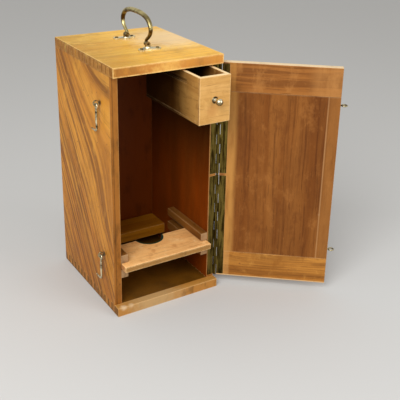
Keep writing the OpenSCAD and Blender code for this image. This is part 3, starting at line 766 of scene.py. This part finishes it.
# %% Dress the frame
DRESS = {
    "left_side": side_wood, "right_side": right_wood,
    "top_board": top_wood, "bottom_board": base_wood,
    "back_board": back_wood, "rear_block": block_wood,
    "upper_runner_left": runner_wood, "upper_runner_right": runner_wood,
    "lower_runner_left": runner_wood, "lower_runner_right": runner_wood,
    "drawer_hanger": runner_wood, "drawer_rail": runner_wood,
    "door_panel": panel_wood,
    "door_clamp_top": top_clamp_wood, "door_clamp_bottom": low_clamp_wood,
    "drawer_front": drawer_wood,
    "drawer_side_left": drawer_side_wood, "drawer_side_right": drawer_side_wood,
    "drawer_back": drawer_side_wood, "drawer_bottom": drawer_side_wood,
    "cradle_board": cradle_wood, "cradle_baize": baize,
    "handle_bail": handle_brass,
    "handle_foot_front": handle_brass, "handle_foot_rear": handle_brass,
    "handle_plate_front": plate_brass, "handle_plate_rear": plate_brass,
    "hook_upper": hook_brass, "hook_lower": hook_brass,
    "hook_eye_upper": eye_brass, "hook_eye_lower": eye_brass,
    "door_eye_upper": eye_brass, "door_eye_lower": eye_brass,
    "drawer_knob": knob_brass, "knob_rose": hook_brass, "back_stud": knob_brass,
    "case_leaf_upper": shaded_hinge_brass, "case_leaf_lower": shaded_hinge_brass,
    "door_leaf_upper": shaded_hinge_brass, "door_leaf_lower": shaded_hinge_brass,
    "hinge_pin_upper": shaded_hinge_brass, "hinge_pin_lower": shaded_hinge_brass,
    "case_screws": shaded_hinge_brass, "door_screws": shaded_hinge_brass,
}

for name, thing in nodes.items():
    thing.data.materials.clear()
    thing.data.materials.append(DRESS[name])
print("dressed", len(nodes), "nodes")

# %% [markdown]
# Every board keeps its measured shape. Modifiers join its loose triangles, flatten them into whole
# faces and take a thin round off the corners, which catches the light as a planed and handled
# board does. A material could fake the round, but then the corners would stay sharp in outline.

# %% Soften the boards
USUAL_ROUND = 0.0007
WIDER_ROUNDS = {"top_board": 0.0011, "bottom_board": 0.0012, "cradle_board": 0.0016,
                "drawer_bottom": 0.0008}
WELD_WITHIN = 1e-6
FLAT_WITHIN = math.radians(1)
CORNER_FROM = math.radians(40)


def soften(board, width):
    weld = board.modifiers.new("weld", "WELD")
    weld.merge_threshold = WELD_WITHIN
    flat = board.modifiers.new("flat faces", "DECIMATE")
    flat.decimate_type = "DISSOLVE"
    flat.angle_limit = FLAT_WITHIN
    round_off = board.modifiers.new("edges", "BEVEL")
    round_off.width = width
    round_off.segments = 2
    round_off.limit_method = "ANGLE"
    round_off.angle_limit = CORNER_FROM


BOARDS = [name for name, finish in DRESS.items() if finish not in METAL and finish is not baize]
for name in BOARDS:
    soften(nodes[name], WIDER_ROUNDS.get(name, USUAL_ROUND))
print("softened", len(BOARDS), "boards")

# %% [markdown]
# The back board is fixed by countersunk brass screws, which are bought ones with slotted heads.
# Each is a short cone let into the wood, with its slot as a narrow bar sunk in the head's face,
# painted near black as painted shade.

# %% Screws of the back board
BACK_FACE = max(places("back_board", 1))
FROM_MIDDLE = max(places("back_board", 0)) - 0.006
SCREW_SPOTS = [(x, z) for x in (-FROM_MIDDLE, FROM_MIDDLE) for z in (0.045, 0.165, 0.285)]
HEAD_RADIUS = 0.0030
NECK_RADIUS = 0.0024
HEAD_DEPTH = 0.0016
HEAD_PROUD = 0.0004
SLOT_PROUD = 0.0003
SLOT_SIZE = (0.0054, 0.00024, 0.0007)


def slot_finish():
    mat, tree, shader = start("dark slot")
    dirt_and_shade = noise(tree, tree.nodes.new("ShaderNodeTexCoord").outputs["Object"], 900, 2.0)
    # painted shade: the slot bar is near black, in place of the shade in a real slot
    tone = blend(tree, dirt_and_shade, colour(0.010, 0.007, 0.003), colour(0.035, 0.024, 0.010))
    feed(tree, shader, "Base Color", tone)
    shader.inputs["Roughness"].default_value = 0.8
    return mat


def slotted_screw(name, x, z, turn):
    """A countersunk head, a little proud of the board, with its slot turned by turn."""
    bm = bmesh.new()
    head_y = BACK_FACE + HEAD_PROUD - HEAD_DEPTH / 2
    face_out = Matrix.Translation((x, head_y, z)) @ Matrix.Rotation(-PI / 2, 4, "X")
    bmesh.ops.create_cone(bm, cap_ends=True, segments=32, radius1=NECK_RADIUS, radius2=HEAD_RADIUS,
                          depth=HEAD_DEPTH, matrix=face_out)
    rim = [e for e in bm.edges if all(v.co.y > BACK_FACE for v in e.verts)]
    bmesh.ops.bevel(bm, geom=rim, offset=0.0002, segments=2, affect="EDGES", profile=0.5,
                    material=-1)
    slot_turn = Matrix.Rotation(turn, 4, "Y") @ Matrix.Diagonal((*SLOT_SIZE, 1.0))
    slot_place = Matrix.Translation((x, BACK_FACE + SLOT_PROUD, z)) @ slot_turn
    bar = bmesh.ops.create_cube(bm, size=1.0, matrix=slot_place)
    for face in {f for v in bar["verts"] for f in v.link_faces}:
        face.material_index = 1
    mesh = bpy.data.meshes.new(name)
    bm.to_mesh(mesh)
    bm.free()
    mesh.materials.append(eye_brass)
    mesh.materials.append(slot_shade)
    screw = bpy.data.objects.new(name, mesh)
    bpy.context.collection.objects.link(screw)
    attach(screw, "case")


slot_shade = slot_finish()
for count, (x, z) in enumerate(SCREW_SPOTS):
    slotted_screw("back_screw_%d" % (count + 1), x, z, 0.4 + 0.9 * count)
print("back screws:", len(SCREW_SPOTS), "at", round(FROM_MIDDLE, 4), "from the middle")
